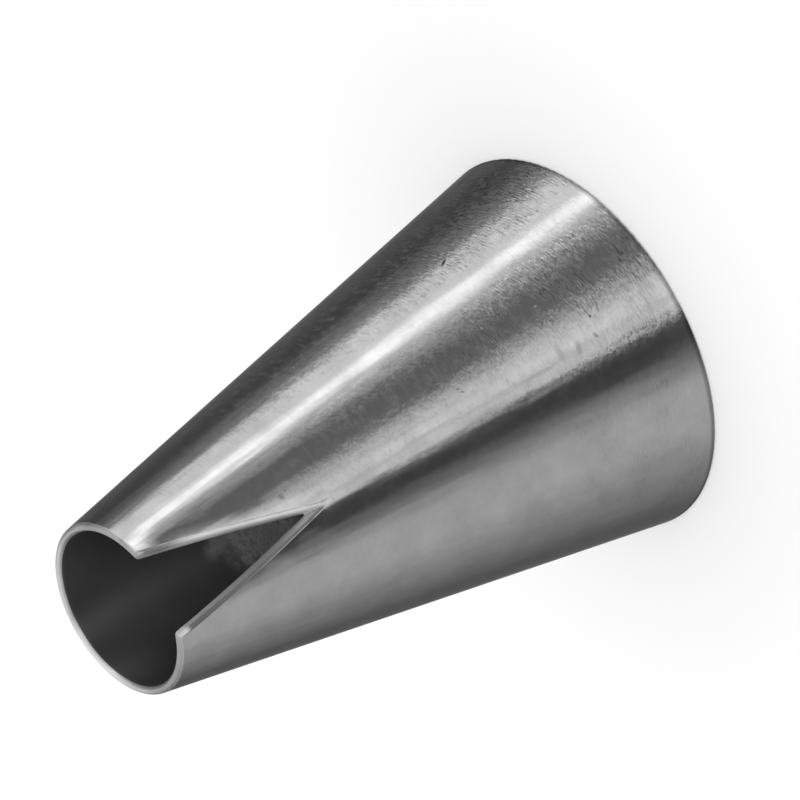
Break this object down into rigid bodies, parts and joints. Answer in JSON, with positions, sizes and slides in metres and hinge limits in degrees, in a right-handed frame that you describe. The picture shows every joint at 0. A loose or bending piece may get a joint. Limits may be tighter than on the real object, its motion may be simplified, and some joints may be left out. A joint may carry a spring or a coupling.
{
  "type": "piping nozzle",
  "caption": "Open metal cone of thin sheet for piping, with a V notch cut down from its narrow mouth.",
  "frame": {"origin": "centre of the wide rim, on the plane that the nozzle stands on", "axes": "+Z along the cone's axis from the wide rim to the mouth; the notch faces -Y; +X to the right of the notch"},
  "size_m": [0.035, 0.035, 0.053],
  "materials": {
    "steel": "satin stainless steel with fine marks running round the cone"
  },
  "bodies": {
    "root": {"nozzle_cone": "steel"}
  },
  "joints": []
}
